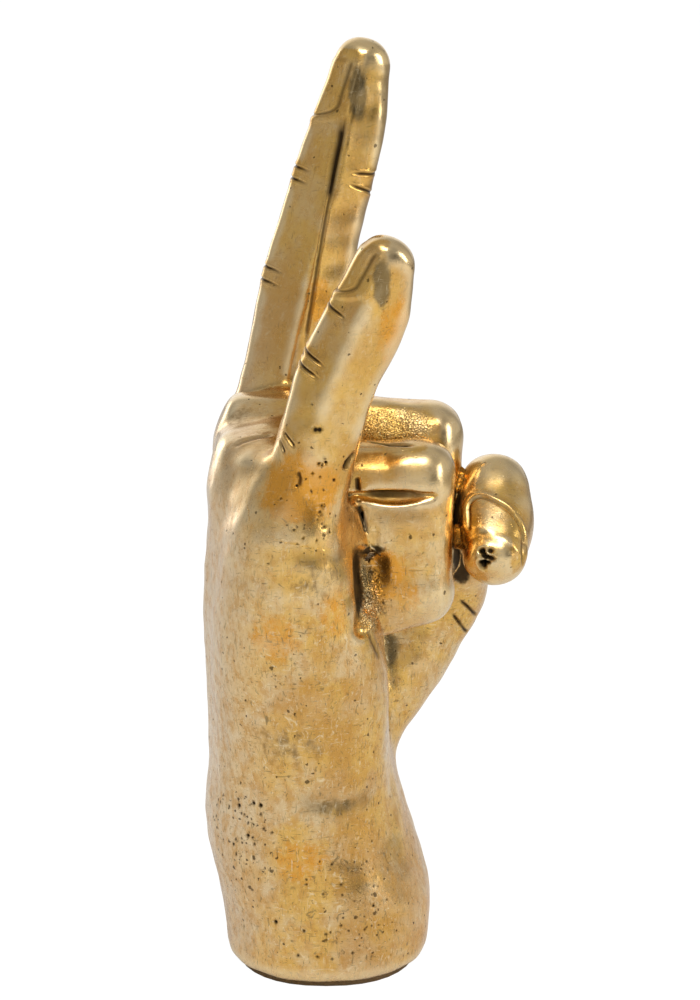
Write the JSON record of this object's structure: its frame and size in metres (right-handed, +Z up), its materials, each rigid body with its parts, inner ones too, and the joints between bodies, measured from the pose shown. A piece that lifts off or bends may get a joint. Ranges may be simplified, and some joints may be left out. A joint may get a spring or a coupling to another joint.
{
  "type": "horns hand sculpture",
  "caption": "Life-size brass ornament of a right hand making the horns sign, standing upright on its cut wrist, with a plate and felt under the base.",
  "frame": {"origin": "middle of the felt's underside, on the surface that the hand stands on", "axes": "+Z up along the forearm to the fingertips, +X out of the palm, +Y to the thumb's side of the hand"},
  "size_m": [0.0904, 0.088, 0.2495],
  "materials": {
    "cast_brass": "aged cast brass, hand polished, with dark pits and creases",
    "dowel_brass": "drawn rod",
    "plate_brass": "brushed sheet",
    "screw_steel": "plain turned steel",
    "felt": "dark pressed felt"
  },
  "bodies": {
    "root": {"hand_casting": "cast_brass", "index_finger": "cast_brass", "middle_finger": "cast_brass", "ring_finger": "cast_brass", "little_finger": "cast_brass", "thumb": "cast_brass", "index_dowel": "dowel_brass", "middle_dowel": "dowel_brass", "ring_dowel": "dowel_brass", "little_dowel": "dowel_brass", "thumb_dowel": "dowel_brass", "base_plate": "plate_brass", "base_screw_1": "screw_steel", "base_screw_2": "screw_steel", "base_screw_3": "screw_steel", "felt_pad": "felt"}
  },
  "joints": []
}
